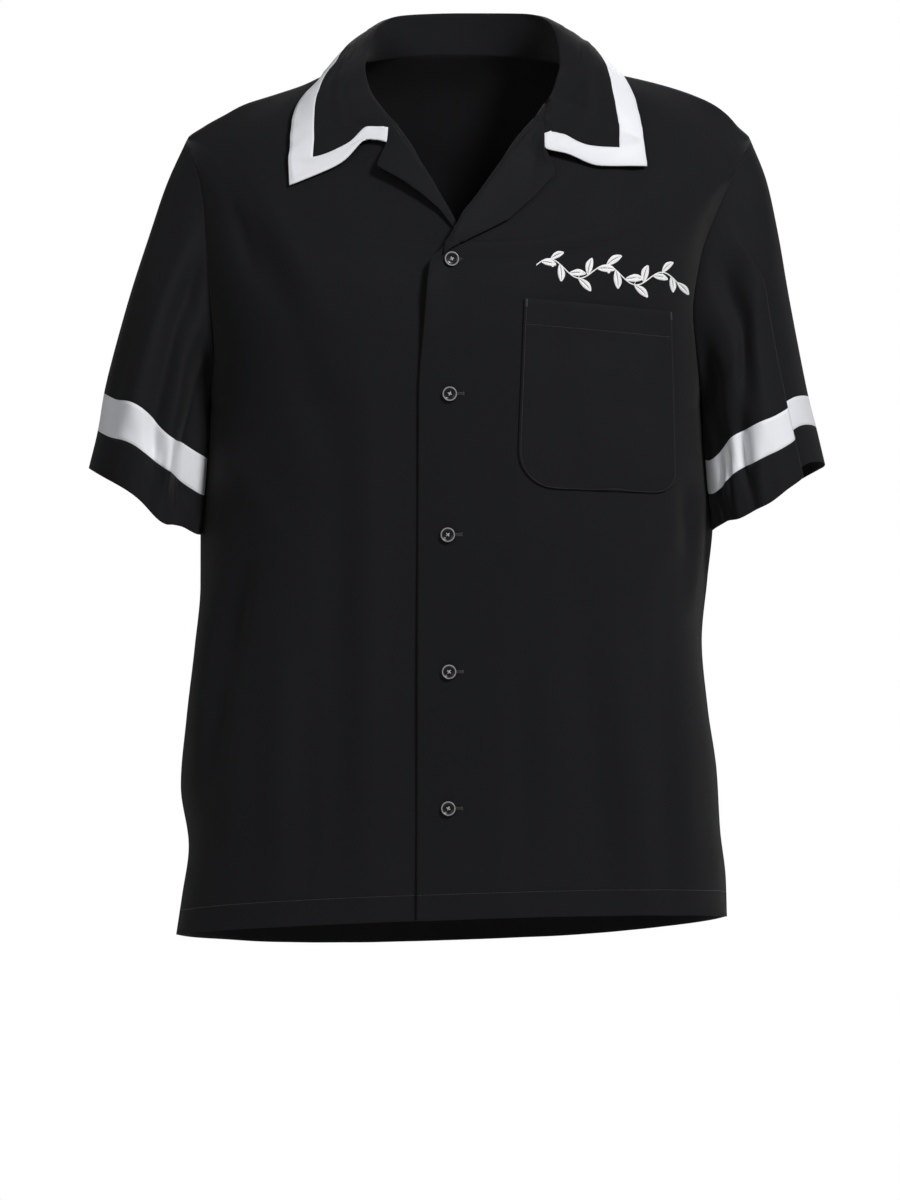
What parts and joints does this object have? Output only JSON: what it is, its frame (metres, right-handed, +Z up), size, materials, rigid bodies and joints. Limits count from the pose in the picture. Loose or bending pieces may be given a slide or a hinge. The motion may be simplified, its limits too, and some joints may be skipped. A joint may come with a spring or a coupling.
{
  "type": "waiter shirt",
  "caption": "Black short-sleeved waiter shirt with an open camp collar and a button front, edged in white at the collar and sleeves, with one patch chest pocket, hollow as worn.",
  "frame": {"origin": "the base of the neck, midway between the two shoulder seams at their highest point, where the wearer's shoulders hold the shirt up", "axes": "+Z up, -Y the way the shirt faces, +X towards the wearer's left"},
  "size_m": [0.6449, 0.2479, 0.8259],
  "materials": {
    "black_cloth": "smooth black poly-cotton twill with a soft low sheen",
    "white_trim": "white satin-faced poplin band, slightly cool, softly creased",
    "button": "glossy black four-hole shirt button with a raised rim"
  },
  "bodies": {
    "root": {"front_right": "black_cloth", "front_left": "black_cloth", "back": "black_cloth", "sleeve_right": "black_cloth", "sleeve_band_right": "white_trim", "sleeve_hem_right": "black_cloth", "sleeve_left": "black_cloth", "sleeve_band_left": "white_trim", "sleeve_hem_left": "black_cloth", "collar": "black_cloth", "collar_trim": "white_trim", "lapel_right": "black_cloth", "lapel_left": "black_cloth", "pocket": "black_cloth", "button_1": "button", "button_2": "button", "button_3": "button", "button_4": "button", "button_5": "button"}
  },
  "joints": []
}
